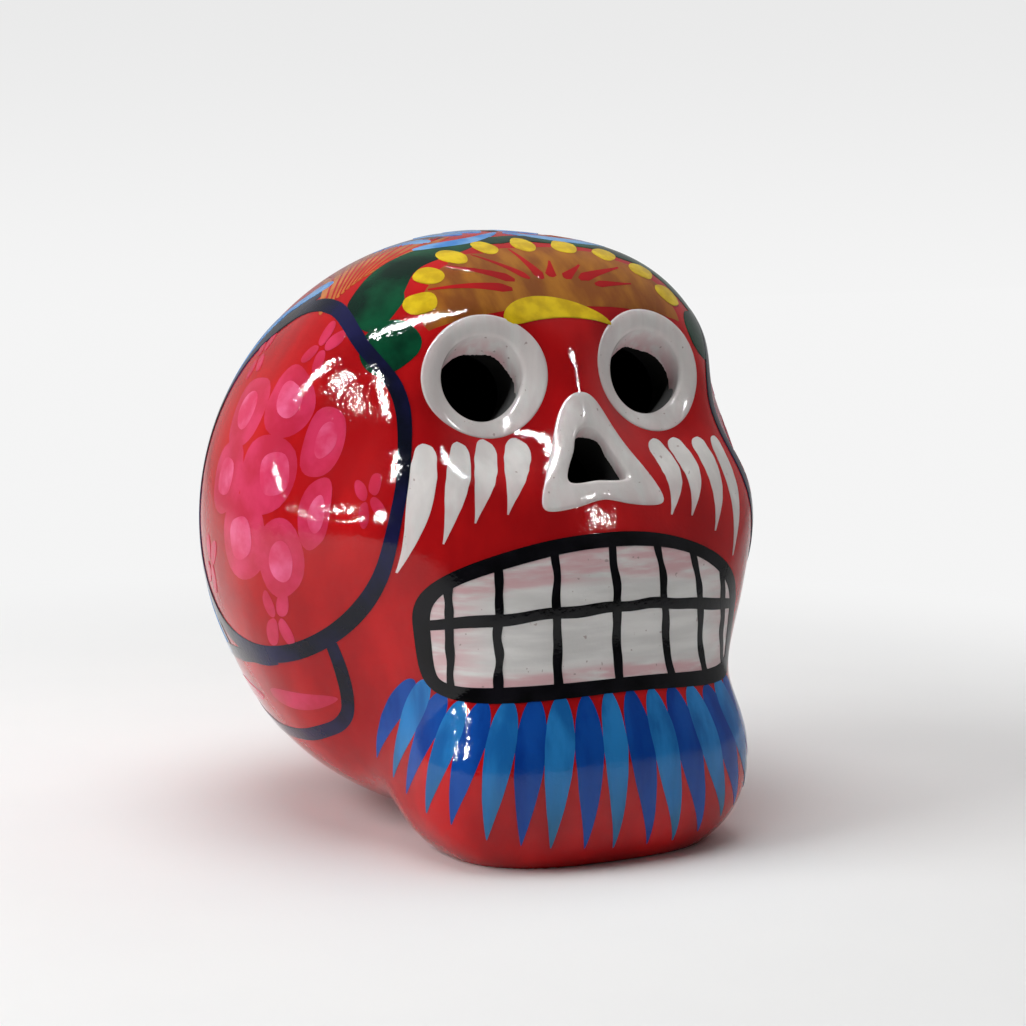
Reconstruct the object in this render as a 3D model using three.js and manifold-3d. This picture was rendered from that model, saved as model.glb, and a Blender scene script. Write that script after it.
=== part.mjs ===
// Hollow clay skull with a hand-painted face, in millimetres, Z up, face toward -Y, standing on Z = 0.
import * as THREE from "three";
import Module from "manifold-3d";

// Cranium, an egg that is longer at the back, cut a little flat where it touches the table.
// A level share is a height above the table as a share of the cranium's height.
const CRANIUM_HALF_WIDTH = 42.4;
const CRANIUM_FRONT = 31.8;
const CRANIUM_BACK = 47;
const CRANIUM_HEIGHT = 88;
const CRANIUM_Y = -1.3;
const CRANIUM_FLAT = 0.1;

// Nape, the underside that touches the table behind the jaw
const NAPE_HALF_WIDTH = 23.7;
const NAPE_HALF_LENGTH = 28.2;
const NAPE_HALF_HEIGHT = 14.5;
const NAPE_Y = 6.1;
const NAPE_LEVEL_SHARE = 0.2489;

// Forehead bosses, one above each eye
const BOSS_RADIUS = 13.7;
const BOSS_X = 15.2;
const BOSS_Y = -8.1;
const BOSS_LEVEL_SHARE = 0.7784;

// Muzzle that carries the teeth
const MUZZLE_HALF_WIDTH = 27.1;
const MUZZLE_DEPTH = 15;
const MUZZLE_HALF_HEIGHT = 19.2;
const MUZZLE_Y = -24.6;
const MUZZLE_LEVEL_SHARE = 0.3966;

// Cheekbones
const CHEEK_HALF_WIDTH = 10.4;
const CHEEK_DEPTH = 11.1;
const CHEEK_HALF_HEIGHT = 9.8;
const CHEEK_X = 21;
const CHEEK_Y = -20.4;
const CHEEK_LEVEL_SHARE = 0.5341;

// Jaw, cut flat underneath
const JAW_HALF_WIDTH = 26.7;
const JAW_DEPTH = 17.8;
const JAW_HALF_HEIGHT = 16.5;
const JAW_Y = -27.2;
const JAW_LEVEL_SHARE = 0.1375;

// Hollows at the temples and the dished eye sockets
const TEMPLE_RADIUS = 10.4;
const TEMPLE_X = 42.7;
const TEMPLE_Y = -21.7;
const TEMPLE_LEVEL_SHARE = 0.7284;
const SOCKET_RADIUS = 11.3;
const SOCKET_X = 14;
const SOCKET_Y = -34.2;
const SOCKET_LEVEL_SHARE = 0.7807;

// Fillets where these forms run into each other, and the soft middle line of the paired ones
const NAPE_FILLET = 14;
const BOSS_FILLET = 10;
const FACE_FILLET = 9;
const TEMPLE_FILLET = 8;
const SOCKET_FILLET = 5;
const MIDDLE_SOFTNESS = 3;

// Clay wall, and the plane where the two pressed halves were joined
const WALL = 5;
const SEAM_Y = 0;
const HOLLOW_Y = -5.6;

// Paint coats
const COAT = 0.4;
const CLEARANCE = 0.3;

// Eye holes with their white rims
const EYE_X = 13.9;
const EYE_LEVEL_SHARE = 0.7716;
const EYE_TILT = 25;
const EYE_HALF_WIDTH = 6.4;
const EYE_HALF_HEIGHT = 5.8;
const EYE_RIM_BAND = 3.1;
const RIM_LINING = 0.4;
const RIM_DEPTH = 4;

// Nose hole with its white rim
const NOSE_LEVEL_SHARE = 0.6511;
const NOSE_TILT = 27;
const NOSE_HOLE_SIDE = 2.5;
const NOSE_HOLE_BASE = 3.4;
const NOSE_RIM_SIDE = 5.6;
const NOSE_RIM_BASE = 7.8;
const NOSE_NOTCH_SHARE = 0.2;

// Mouth: black frame with a grid of lines, in turns about the jaw's axis
const MOUTH_LEVEL_SHARE = 0.4182;
const MOUTH_AXIS_Y = -13.6;
const MOUTH_MIDDLE_ANGLE = -1.2;
const MOUTH_RIGHT_ANGLE = 59.5;
const MOUTH_LEFT_ANGLE = 49.5;
const MOUTH_UPPER = 8.6;
const MOUTH_LOWER = 12;
const MOUTH_SAG = 2.4;
const MOUTH_BAND = 1.7;
const MOUTH_LINE = 1.3;
const TEETH_PER_SIDE = 4;
const TOOTH_TAPER = 0.77;
const TOOTH_LEAST = 0.6;

// Cheek strokes, hanging below each eye rim in the room between the nose and the temple oval
const STROKES_PER_CHEEK = 4;
const STROKE_FIRST_X = 11.1;
const STROKE_MARGIN = 1.1;
const STROKE_SHARE = 0.83;
const STROKE_DROP = 0.8;
const STROKE_LENGTH = 9;
const STROKE_GROWTH = 1.9;
const STROKE_LEAN = 2.4;

// Beard strokes hanging below the mouth, in turns about the jaw's axis
const BEARD_STROKES = 17;
const BEARD_MIDDLE_ANGLE = -12;
const BEARD_ANGLE = 53;
const BEARD_SPLAY_ANGLE = 9;
const BEARD_TIP_Z = 3.2;
const BEARD_TIP_RISE = 9.5;

// Oval line round each temple flower
const OVAL_Y = -3.1;
const OVAL_LEVEL_SHARE = 0.5852;
const OVAL_HALF_LENGTH = 22.5;
const OVAL_HALF_HEIGHT = 26;
const OVAL_LINE = 1.8;

// Forehead fan with its crescent and row of dots, measured up from the eye rims
const BROW_GAP = 0.4;
const FAN_LIFT = 1.9;
const FAN_TILT = 50;
const FAN_HALF_WIDTH = 19.3;
const FAN_HEIGHT = 11.8;
const FAN_INNER_SHARE = 0.36;
const FAN_SCALLOP = 0.5;
const FAN_DOTS = 9;
const DOT_RADIUS = 2;
const CRESCENT_HALF_WIDTH = 8.6;
const CRESCENT_WIDTH = 3.2;
const CRESCENT_BOW = 2.6;

const wasm = await Module();
wasm.setup();

const RAD = Math.PI / 180;
const mix = (a, b, t) => a + (b - a) * t;
const vec = (x, y, z) => new THREE.Vector3(x, y, z);
const craniumZ = CRANIUM_HEIGHT / 2 - CRANIUM_FLAT;
const level = (share) => share * CRANIUM_HEIGHT;
const eyeZ = level(EYE_LEVEL_SHARE);
const ovalZ = level(OVAL_LEVEL_SHARE);

// Two forms joined by a soft fillet k wide
function blend(a, b, k) {
  const h = Math.min(1, Math.max(0, 0.5 + (0.5 * (b - a)) / k));
  return mix(b, a, h) - k * h * (1 - h);
}

// Distance to an ellipsoid, squared off by n in plan and by m in height
function blob(x, y, z, rx, ry, rz, n = 2, m = 2) {
  const ax = Math.abs(x) / rx;
  const ay = Math.abs(y) / ry;
  const az = Math.abs(z) / rz;
  const plan = (ax ** n + ay ** n) ** (1 / n);
  const size = (plan ** m + az ** m) ** (1 / m);
  const slope = Math.hypot(ax / rx, ay / ry, az / rz) / Math.max(Math.hypot(ax, ay, az), 1e-6);
  return (size - 1) / Math.max(slope, 1e-6);
}

// Distance to the outside of the clay, before the flat underside is cut
function skin(p) {
  const { x, y, z } = p;
  const above = (share) => z - level(share);
  const pair = Math.hypot(x, MIDDLE_SOFTNESS) - 0.1 * MIDDLE_SOFTNESS;
  const back = y - CRANIUM_Y;
  const reach = back < 0 ? CRANIUM_FRONT : CRANIUM_BACK;
  let d = blob(x, back, z - craniumZ, CRANIUM_HALF_WIDTH, reach, CRANIUM_HEIGHT / 2);
  const napeUp = above(NAPE_LEVEL_SHARE);
  const nape = blob(x, y - NAPE_Y, napeUp, NAPE_HALF_WIDTH, NAPE_HALF_LENGTH, NAPE_HALF_HEIGHT);
  d = blend(d, nape, NAPE_FILLET);
  d = blend(d, Math.hypot(pair - BOSS_X, y - BOSS_Y, above(BOSS_LEVEL_SHARE)) - BOSS_RADIUS, BOSS_FILLET);
  const muzzleUp = above(MUZZLE_LEVEL_SHARE);
  let face = blob(x, y - MUZZLE_Y, muzzleUp, MUZZLE_HALF_WIDTH, MUZZLE_DEPTH, MUZZLE_HALF_HEIGHT, 2.5);
  const cheekUp = above(CHEEK_LEVEL_SHARE);
  const cheek = blob(pair - CHEEK_X, y - CHEEK_Y, cheekUp, CHEEK_HALF_WIDTH, CHEEK_DEPTH, CHEEK_HALF_HEIGHT);
  face = blend(face, cheek, FACE_FILLET);
  const jawUp = above(JAW_LEVEL_SHARE);
  const jaw = blob(x, y - JAW_Y, jawUp, JAW_HALF_WIDTH, JAW_DEPTH, JAW_HALF_HEIGHT, 2.6, 2.4);
  face = blend(face, jaw, FACE_FILLET);
  d = blend(d, face, FACE_FILLET);
  const temple = Math.hypot(pair - TEMPLE_X, y - TEMPLE_Y, above(TEMPLE_LEVEL_SHARE)) - TEMPLE_RADIUS;
  d = -blend(-d, temple, TEMPLE_FILLET);
  const socket = Math.hypot(pair - SOCKET_X, y - SOCKET_Y, above(SOCKET_LEVEL_SHARE)) - SOCKET_RADIUS;
  return -blend(-d, socket, SOCKET_FILLET);
}

function outward(p) {
  const h = 0.05;
  const x = skin(vec(p.x + h, p.y, p.z)) - skin(vec(p.x - h, p.y, p.z));
  const y = skin(vec(p.x, p.y + h, p.z)) - skin(vec(p.x, p.y - h, p.z));
  const z = skin(vec(p.x, p.y, p.z + h)) - skin(vec(p.x, p.y, p.z - h));
  return vec(x, y, z).normalize();
}

// Walks from a start along a direction until the measure falls to zero
function land(start, direction, measure = skin) {
  const p = start.clone();
  for (let i = 0; i < 160; i++) {
    const d = measure(p);
    if (Math.abs(d) < 1e-4) break;
    p.addScaledVector(direction, Math.max(-2, Math.min(6, 0.6 * d)));
  }
  return p;
}

const raised = (p, height) => p.clone().addScaledVector(outward(p), height);

// Places on the clay: flat in front of a tilted plane, wrapped round the jaw's axis, or seen from one side
function plane(x, z, tilt) {
  const axis = vec(0, -Math.cos(tilt * RAD), Math.sin(tilt * RAD));
  const rise = vec(0, Math.sin(tilt * RAD), Math.cos(tilt * RAD));
  const far = land(vec(x, -70, z), vec(0, 1, 0));
  const start = (u, v) => vec(far.x + u, far.y, far.z).addScaledVector(rise, v).addScaledVector(axis, 30);
  return { axis, at: (u, v) => land(start(u, v), axis.clone().negate()) };
}
function wrapped(turn, z) {
  const out = vec(Math.sin(turn * RAD), -Math.cos(turn * RAD), 0);
  return land(vec(0, MOUTH_AXIS_Y, z).addScaledVector(out, 60), out.clone().negate());
}
const beside = (side, y, z) => land(vec(side * 70, y, z), vec(-side, 0, 0));

// Solids from points and triangles
function solid({ points, faces }) {
  const vertProperties = new Float32Array(points.flatMap((p) => [p.x, p.y, p.z]));
  const triVerts = new Uint32Array(faces.flat());
  return new wasm.Manifold(new wasm.Mesh({ numProp: 3, vertProperties, triVerts }));
}
function facingOut(body) {
  let volume = 0;
  for (const [a, b, c] of body.faces) {
    volume += body.points[a].dot(body.points[b].clone().cross(body.points[c]));
  }
  if (volume < 0) body.faces.forEach((f) => f.reverse());
  return body;
}

// A closed skin of even squares round a centre
function globe(steps, place) {
  const points = [];
  const faces = [];
  const known = new Map();
  const spread = (i) => Math.tan((i / steps - 0.5) * 0.5 * Math.PI);
  const corner = (axis, sign, i, j) => {
    const d = [0, 0, 0];
    d[axis] = sign;
    d[(axis + 1) % 3] = sign * spread(i);
    d[(axis + 2) % 3] = spread(j);
    const way = vec(...d).normalize();
    const key = way.toArray().map((v) => Math.round(v * 1e5)).join("_");
    if (!known.has(key)) known.set(key, points.push(place(way)) - 1);
    return known.get(key);
  };
  for (const axis of [0, 1, 2]) {
    for (const sign of [1, -1]) {
      for (let i = 0; i < steps; i++) {
        for (let j = 0; j < steps; j++) {
          const a = corner(axis, sign, i, j);
          const b = corner(axis, sign, i + 1, j);
          const c = corner(axis, sign, i + 1, j + 1);
          const d = corner(axis, sign, i, j + 1);
          faces.push([a, b, c], [a, c, d]);
        }
      }
    }
  }
  return solid(facingOut({ points, faces }));
}

// A thin coat that follows the clay; a closed one runs round to its own start
function coat(across, along, place, low = CLEARANCE, high = CLEARANCE + COAT, closed = false) {
  const points = [];
  const faces = [];
  const rows = closed ? along : along + 1;
  const cell = across + 1;
  for (const height of [low, high]) {
    for (let j = 0; j < rows; j++) {
      for (let i = 0; i < cell; i++) points.push(raised(place(i / across, j / along), height));
    }
  }
  const at = (layer, i, j) => (layer * rows + (j % rows)) * cell + i;
  const quad = (a, b, c, d) => faces.push([a, b, c], [a, c, d]);
  for (let j = 0; j < along; j++) {
    for (let i = 0; i < across; i++) {
      quad(at(1, i, j), at(1, i + 1, j), at(1, i + 1, j + 1), at(1, i, j + 1));
      quad(at(0, i, j), at(0, i, j + 1), at(0, i + 1, j + 1), at(0, i + 1, j));
    }
    quad(at(0, 0, j), at(1, 0, j), at(1, 0, j + 1), at(0, 0, j + 1));
    quad(at(0, across, j), at(0, across, j + 1), at(1, across, j + 1), at(1, across, j));
  }
  for (let i = 0; i < across && !closed; i++) {
    quad(at(0, i, 0), at(0, i + 1, 0), at(1, i + 1, 0), at(1, i, 0));
    quad(at(0, i, along), at(1, i, along), at(1, i + 1, along), at(0, i + 1, along));
  }
  return facingOut({ points, faces });
}

// A rim with a flange on the clay and a lining down the hole; hole and edge give the radius at each turn
function rim(steps, spot, hole, edge) {
  const points = [];
  const faces = [];
  const top = CLEARANCE + COAT;
  const ring = [
    [0, 0, top],
    [0, 0.5, top],
    [0, 1, top],
    [0, 1, CLEARANCE],
    [0, 0.5, CLEARANCE],
    [RIM_LINING, 0, CLEARANCE],
    [RIM_LINING, 0, -RIM_DEPTH],
    [0, 0, -RIM_DEPTH],
  ];
  for (let j = 0; j < steps; j++) {
    const turn = (j / steps) * 2 * Math.PI;
    for (const [extra, share, height] of ring) {
      const u = (mix(hole(turn)[0], edge(turn)[0], share) + extra) * Math.cos(turn);
      const v = (mix(hole(turn)[1], edge(turn)[1], share) + extra) * Math.sin(turn);
      points.push(spot.at(u, v).addScaledVector(spot.axis, height));
    }
  }
  const n = ring.length;
  for (let j = 0; j < steps; j++) {
    for (let i = 0; i < n; i++) {
      const a = j * n + i;
      const b = j * n + ((i + 1) % n);
      const c = ((j + 1) % steps) * n + ((i + 1) % n);
      const d = ((j + 1) % steps) * n + i;
      faces.push([a, b, c], [a, c, d]);
    }
  }
  return facingOut({ points, faces });
}

// The hole that a rim lines, cut right through the wall
function bore(steps, spot, hole) {
  const points = [];
  const faces = [];
  const middle = spot.at(0, 0);
  const across = vec(1, 0, 0);
  const rise = spot.axis.clone().cross(across).normalize();
  const extra = RIM_LINING + CLEARANCE;
  for (const height of [2 * EYE_HALF_WIDTH, -WALL - 1.4 * EYE_HALF_WIDTH]) {
    for (let j = 0; j < steps; j++) {
      const turn = (j / steps) * 2 * Math.PI;
      const u = (hole(turn)[0] + extra) * Math.cos(turn);
      const v = -(hole(turn)[1] + extra) * Math.sin(turn);
      const p = middle.clone().addScaledVector(across, u).addScaledVector(rise, -v);
      points.push(p.addScaledVector(spot.axis, height));
    }
  }
  for (let j = 0; j < steps; j++) {
    const k = (j + 1) % steps;
    faces.push([j, k, steps + k], [j, steps + k, steps + j]);
    if (j > 1) faces.push([0, j, j - 1], [steps, steps + j - 1, steps + j]);
  }
  return solid(facingOut({ points, faces }));
}

// Colours as painted
const RED = "#b3261f";
const WHITE = "#e4dedb";
const BLACK = "#17171a";
const DARK_BLUE = "#0b4590";
const LIGHT_BLUE = "#2f7fbd";
const YELLOW = "#e6c81c";
const OCHRE = "#a8682a";
const NAVY = "#1a2040";

const skull = new THREE.Group();
skull.name = "clay_skull";
function add(name, body, color, roughness = 0.3) {
  const geometry = new THREE.BufferGeometry();
  if (body.points) {
    const flat = new Float32Array(body.points.flatMap((p) => [p.x, p.y, p.z]));
    geometry.setAttribute("position", new THREE.BufferAttribute(flat, 3));
    geometry.setIndex(body.faces.flat());
  } else {
    const made = body.getMesh();
    geometry.setAttribute("position", new THREE.BufferAttribute(new Float32Array(made.vertProperties), 3));
    geometry.setIndex(new THREE.BufferAttribute(new Uint32Array(made.triVerts), 1));
  }
  geometry.computeVertexNormals();
  const material = new THREE.MeshStandardMaterial({ color, roughness, metalness: 0 });
  const mesh = new THREE.Mesh(geometry, material);
  mesh.name = name;
  skull.add(mesh);
}

// Holes and rims of the eyes and the nose
const eyeHole = () => [EYE_HALF_WIDTH, EYE_HALF_HEIGHT];
const eyeEdge = () => [EYE_HALF_WIDTH + EYE_RIM_BAND, EYE_HALF_HEIGHT + EYE_RIM_BAND];
const eyes = { right: plane(-EYE_X, eyeZ, EYE_TILT), left: plane(EYE_X, eyeZ, EYE_TILT) };
const nose = plane(0, level(NOSE_LEVEL_SHARE), NOSE_TILT);
function triangle(turn, side, base) {
  const wall = (middle, away) => Math.max(0, Math.cos(turn - middle) / away) ** 7;
  const sum = wall(31 * RAD, side) + wall(149 * RAD, side) + wall(-90 * RAD, base);
  return sum ** (-1 / 7);
}
const noseHole = (turn) => {
  const r = triangle(turn, NOSE_HOLE_SIDE, NOSE_HOLE_BASE);
  return [r, r];
};
const noseEdge = (turn) => {
  const below = Math.max(0, -Math.sin(turn)) ** 14;
  const r = triangle(turn, NOSE_RIM_SIDE, NOSE_RIM_BASE) * (1 - NOSE_NOTCH_SHARE * below);
  return [r, r];
};

// The two clay halves
const middle = vec(0, HOLLOW_Y, craniumZ);
const forward = vec(0, MOUTH_AXIS_Y, level(MUZZLE_LEVEL_SHARE));
const outside = globe(17, (way) => land(forward.clone().addScaledVector(way, 80), way.clone().negate()));
const depth = (p) => -(Math.max(skin(p), -p.z) + WALL);
const inside = globe(9, (way) => land(middle, way, depth));
let clay = outside.trimByPlane([0, 0, 1], 0).subtract(inside);
for (const spot of [eyes.right, eyes.left]) clay = clay.subtract(bore(28, spot, eyeHole));
clay = clay.subtract(bore(28, nose, noseHole));
const [rear, front] = clay.splitByPlane([0, 1, 0], SEAM_Y);
add("face_half", front, RED);
add("cranium_half", rear, RED);
add("right_eye_rim", rim(28, eyes.right, eyeHole, eyeEdge), WHITE);
add("left_eye_rim", rim(28, eyes.left, eyeHole, eyeEdge), WHITE);
add("nose_rim", rim(28, nose, noseHole, noseEdge), WHITE);

// Mouth outline by its share of the way from the middle to an end
const mouthZ = level(MOUTH_LEVEL_SHARE);
const span = (share) => (share < 0 ? MOUTH_RIGHT_ANGLE : MOUTH_LEFT_ANGLE);
const mouthTurn = (share) => MOUTH_MIDDLE_ANGLE + share * span(share);
const parting = (share) => mouthZ - MOUTH_SAG * share * share;
const lip = (share, power) => (1 - Math.min(0.999, Math.abs(share)) ** power) ** (1 / power);
const upperLip = (share) => parting(share) + MOUTH_UPPER * lip(share, 2.2);
const lowerLip = (share) => parting(share) - MOUTH_LOWER * lip(share, 5);
function shareOf(mm, share) {
  const p = wrapped(mouthTurn(share), parting(share));
  return mm / (span(share) * RAD * Math.hypot(p.x, p.y - MOUTH_AXIS_Y));
}

// Lines between the teeth, closer together toward the ends
function toothLine(i) {
  const whole = (1 - TOOTH_TAPER ** TEETH_PER_SIDE) / (1 - TOOTH_TAPER);
  const part = (1 - TOOTH_TAPER ** Math.abs(i)) / (1 - TOOTH_TAPER);
  return (Math.sign(i) * part) / whole;
}
function toothPlace(i, upper, inset) {
  const edge = (k) => (Math.abs(k) === TEETH_PER_SIDE ? MOUTH_BAND : MOUTH_LINE / 2) + inset;
  const a = toothLine(i) + shareOf(edge(i), toothLine(i + 0.5));
  const b = toothLine(i + 1) - shareOf(edge(i + 1), toothLine(i + 0.5));
  return (s, t) => {
    const share = mix(a, b, s);
    const near = parting(share) + (upper ? 1 : -1) * (MOUTH_LINE / 2 + inset);
    const far = upper ? upperLip(share) - MOUTH_BAND - inset : lowerLip(share) + MOUTH_BAND + inset;
    const least = upper ? Math.max(far, near + TOOTH_LEAST) : Math.min(far, near - TOOTH_LEAST);
    return wrapped(mouthTurn(share), mix(near, least, t));
  };
}
const wide = (s) => mix(-0.995, 0.995, s);
let frame = solid(
  coat(26, 5, (s, t) => wrapped(mouthTurn(wide(s)), mix(lowerLip(wide(s)), upperLip(wide(s)), t))),
);
for (let i = -TEETH_PER_SIDE; i < TEETH_PER_SIDE; i++) {
  for (const upper of [true, false]) {
    const name = (upper ? "upper" : "lower") + "_tooth_" + (i + TEETH_PER_SIDE + 1);
    frame = frame.subtract(solid(coat(2, 1, toothPlace(i, upper, 0), -3 * COAT, 5 * COAT)));
    add(name, coat(3, 3, toothPlace(i, upper, CLEARANCE)), WHITE);
  }
}
add("mouth_frame", frame, BLACK);

// Cheek strokes, wide below the eye rim and drawn out to a tip
const rimWidth = EYE_HALF_WIDTH + EYE_RIM_BAND;
const rimHeight = EYE_HALF_HEIGHT + EYE_RIM_BAND;
const rimAt = (x) => rimHeight * Math.sqrt(Math.max(0, 1 - ((x - EYE_X) / rimWidth) ** 2));
const strokeTop = (x) => eyeZ - Math.max(0.8 * rimHeight, rimAt(x)) * Math.cos(EYE_TILT * RAD) - STROKE_DROP;
const ovalRise = (strokeTop(EYE_X + rimWidth) - ovalZ) / OVAL_HALF_HEIGHT;
const ovalFront = OVAL_Y - OVAL_HALF_LENGTH * Math.sqrt(Math.max(0, 1 - ovalRise ** 2)) - OVAL_LINE / 2;
const strokeRoom = beside(1, ovalFront, strokeTop(EYE_X + rimWidth)).x - STROKE_MARGIN - STROKE_FIRST_X;
const strokePitch = strokeRoom / (STROKES_PER_CHEEK - 1);
for (const [word, side] of [["right", -1], ["left", 1]]) {
  for (let i = 0; i < STROKES_PER_CHEEK; i++) {
    const top = STROKE_FIRST_X + i * strokePitch;
    const length = STROKE_LENGTH + i * STROKE_GROWTH;
    const place = (s, t) => {
      const width = STROKE_SHARE * strokePitch * Math.max(0.1, Math.min(1, 0.55 + 3 * t) * (1 - t) ** 0.55);
      const x = top + STROKE_LEAN * t * t + (s - 0.5) * width;
      return land(vec(side * x, -70, strokeTop(top) - length * t), vec(0, 1, 0));
    };
    add(word + "_cheek_stroke_" + (i + 1), coat(2, 6, place), WHITE);
  }
}

// Beard strokes, dark and light in turn
const pitch = (2 * BEARD_ANGLE) / (BEARD_STROKES - 1);
for (let i = 0; i < BEARD_STROKES; i++) {
  const across = mix(-1, 1, i / (BEARD_STROKES - 1));
  const turn = BEARD_MIDDLE_ANGLE + across * BEARD_ANGLE;
  const share = (turn - MOUTH_MIDDLE_ANGLE) / span(turn - MOUTH_MIDDLE_ANGLE);
  const lowest = (k) => lowerLip(Math.max(-0.9, Math.min(0.9, share + k)));
  const root = Math.min(lowest(-0.08), lowest(0), lowest(0.08)) - CLEARANCE;
  const tip = BEARD_TIP_Z + BEARD_TIP_RISE * across ** 2;
  const half = pitch / 2 - 0.5 * CLEARANCE / (RAD * JAW_DEPTH);
  const place = (s, t) => {
    const width = Math.max(0.08, (1 - t) ** 0.6);
    return wrapped(turn + across * BEARD_SPLAY_ANGLE * t + (2 * s - 1) * half * width, mix(root, tip, t));
  };
  add("beard_stroke_" + (i + 1), coat(2, 6, place), i % 2 ? LIGHT_BLUE : DARK_BLUE);
}

// Oval line on each temple
for (const [word, side] of [["right", -1], ["left", 1]]) {
  const place = (s, t) => {
    const grow = (s - 0.5) * OVAL_LINE;
    const y = OVAL_Y + (OVAL_HALF_LENGTH + grow) * Math.cos(2 * Math.PI * t);
    const z = ovalZ + (OVAL_HALF_HEIGHT + grow) * Math.sin(2 * Math.PI * t);
    return beside(side, y, z);
  };
  add(word + "_temple_oval", coat(2, 56, place, CLEARANCE, CLEARANCE + COAT, true), NAVY);
}

// Forehead fan, its crescent and the dots round its edge
const rimEdge = eyes.left.at(CRESCENT_HALF_WIDTH - EYE_X, rimAt(CRESCENT_HALF_WIDTH));
const brow = plane(0, rimEdge.z + BROW_GAP, FAN_TILT);
const fanPlace = (s, t) => {
  const turn = mix(172, 8, t) * RAD;
  const scallop = FAN_SCALLOP * Math.abs(Math.cos(FAN_DOTS * turn)) - FAN_SCALLOP;
  const inner = FAN_INNER_SHARE * FAN_HALF_WIDTH + CLEARANCE;
  const u = mix(inner, FAN_HALF_WIDTH + scallop, s) * Math.cos(turn);
  const v = mix(CRESCENT_BOW + CRESCENT_WIDTH / 2 + CLEARANCE, FAN_HEIGHT + scallop, s) * Math.sin(turn);
  return brow.at(u, v + FAN_LIFT);
};
add("forehead_fan", coat(3, 27, fanPlace), OCHRE);
const crescentPlace = (s, t) => {
  const u = mix(-CRESCENT_HALF_WIDTH, CRESCENT_HALF_WIDTH, t);
  const share = u / CRESCENT_HALF_WIDTH;
  const width = CRESCENT_WIDTH * Math.max(0.1, Math.sqrt(1 - share * share * 0.99));
  return brow.at(u, CRESCENT_BOW * (1 - share * share) + (s - 0.5) * width);
};
add("brow_crescent", coat(2, 12, crescentPlace), YELLOW);
for (let i = 0; i < FAN_DOTS; i++) {
  const turn = mix(168, 12, i / (FAN_DOTS - 1)) * RAD;
  const away = DOT_RADIUS + 2 * CLEARANCE;
  const u = (FAN_HALF_WIDTH + away) * Math.cos(turn);
  const v = (FAN_HEIGHT + away) * Math.sin(turn) + FAN_LIFT;
  const place = (s, t) => {
    const a = 2 * s - 1;
    const b = 2 * t - 1;
    const across = DOT_RADIUS * a * Math.sqrt(1 - (b * b) / 2);
    const up = DOT_RADIUS * b * Math.sqrt(1 - (a * a) / 2);
    return brow.at(u + across, v + up);
  };
  add("fan_dot_" + (i + 1), coat(3, 3, place), YELLOW);
}

export default skull;
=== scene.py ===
import math

import bpy
import numpy as np
from mathutils import Matrix

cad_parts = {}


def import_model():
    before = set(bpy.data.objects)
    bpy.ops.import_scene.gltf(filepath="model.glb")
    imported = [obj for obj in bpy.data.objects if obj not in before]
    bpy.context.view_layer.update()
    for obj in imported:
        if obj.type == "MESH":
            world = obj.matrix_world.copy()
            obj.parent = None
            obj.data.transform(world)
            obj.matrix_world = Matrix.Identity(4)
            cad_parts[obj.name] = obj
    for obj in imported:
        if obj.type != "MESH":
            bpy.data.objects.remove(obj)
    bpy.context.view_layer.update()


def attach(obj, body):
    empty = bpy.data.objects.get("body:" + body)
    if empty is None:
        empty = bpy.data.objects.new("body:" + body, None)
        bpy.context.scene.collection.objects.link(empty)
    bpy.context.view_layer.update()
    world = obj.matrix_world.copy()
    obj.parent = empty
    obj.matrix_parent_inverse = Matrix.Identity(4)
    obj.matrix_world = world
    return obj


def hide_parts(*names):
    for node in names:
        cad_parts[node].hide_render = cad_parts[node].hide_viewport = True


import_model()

MM = 0.001

# The clay form in millimetres, face toward -Y, standing on Z = 0: middles and half sizes
CRANIUM_MIDDLE = np.array((0, -1.3, 43.9))
CRANIUM_HALF = (42.4, 31.8, 44)
CRANIUM_BACK = 47
NAPE_MIDDLE, NAPE_HALF = (0, 6.1, 21.9), (23.7, 28.2, 14.5)
BOSS_MIDDLE, BOSS_RADIUS = (15.2, -8.1, 68.5), 13.7
MUZZLE_MIDDLE, MUZZLE_HALF = (0, -24.6, 34.9), (27.1, 15, 19.2)
CHEEK_MIDDLE, CHEEK_HALF = (21, -20.4, 47), (10.4, 11.1, 9.8)
JAW_MIDDLE, JAW_HALF = (0, -27.2, 12.1), (26.7, 17.8, 16.5)
TEMPLE_MIDDLE, TEMPLE_RADIUS = (42.7, -21.7, 64.1), 10.4
SOCKET_MIDDLE, SOCKET_RADIUS = (14, -34.2, 68.7), 11.3
MUZZLE_PLAN, JAW_PLAN, JAW_RISE = 2.5, 2.6, 2.4
NAPE_FILLET, BOSS_FILLET, FACE_FILLET, TEMPLE_FILLET, SOCKET_FILLET = 14, 10, 9, 8, 5
MIRROR_FILLET, MIRROR_SHIFT = 3, 0.3
WALL = 5

# Eyes, nose and mouth
EYE_X, EYE_Z, EYE_TILT = 13.9, 67.9, 25
EYE_HOLE, EYE_BAND = (6.4, 5.8), 3.1
NOSE_Z, NOSE_TILT, NOSE_SLANT = 57.3, 27, 26
NOSE_HOLE, NOSE_RIM, NOSE_NOTCH = (3.4, 3.6, 4.6, 5), (6.6, 7.8, 10, 7), 0.13
RIM_ROUND, EYE_DEPTH, NOSE_DEPTH, HOLE_LEAN, HOLE_REACH = 0.7, 3.9, 2.2, 0.45, 14
THROAT_DEPTH, THROAT_ROWS, THROAT_GROWTH = 8, 6, 1.045
MOUTH_Z, MOUTH_AXIS_Y, MOUTH_MIDDLE = 36.8, -13.6, -1.2
MOUTH_RIGHT, MOUTH_LEFT = 59.5, 49.5
MOUTH_UPPER, MOUTH_LOWER, MOUTH_SAG = 10.3, 12, 2.4
MOUTH_BAND, MOUTH_LINE, MOUTH_REACH = 2.1, 1.4, 27
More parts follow.
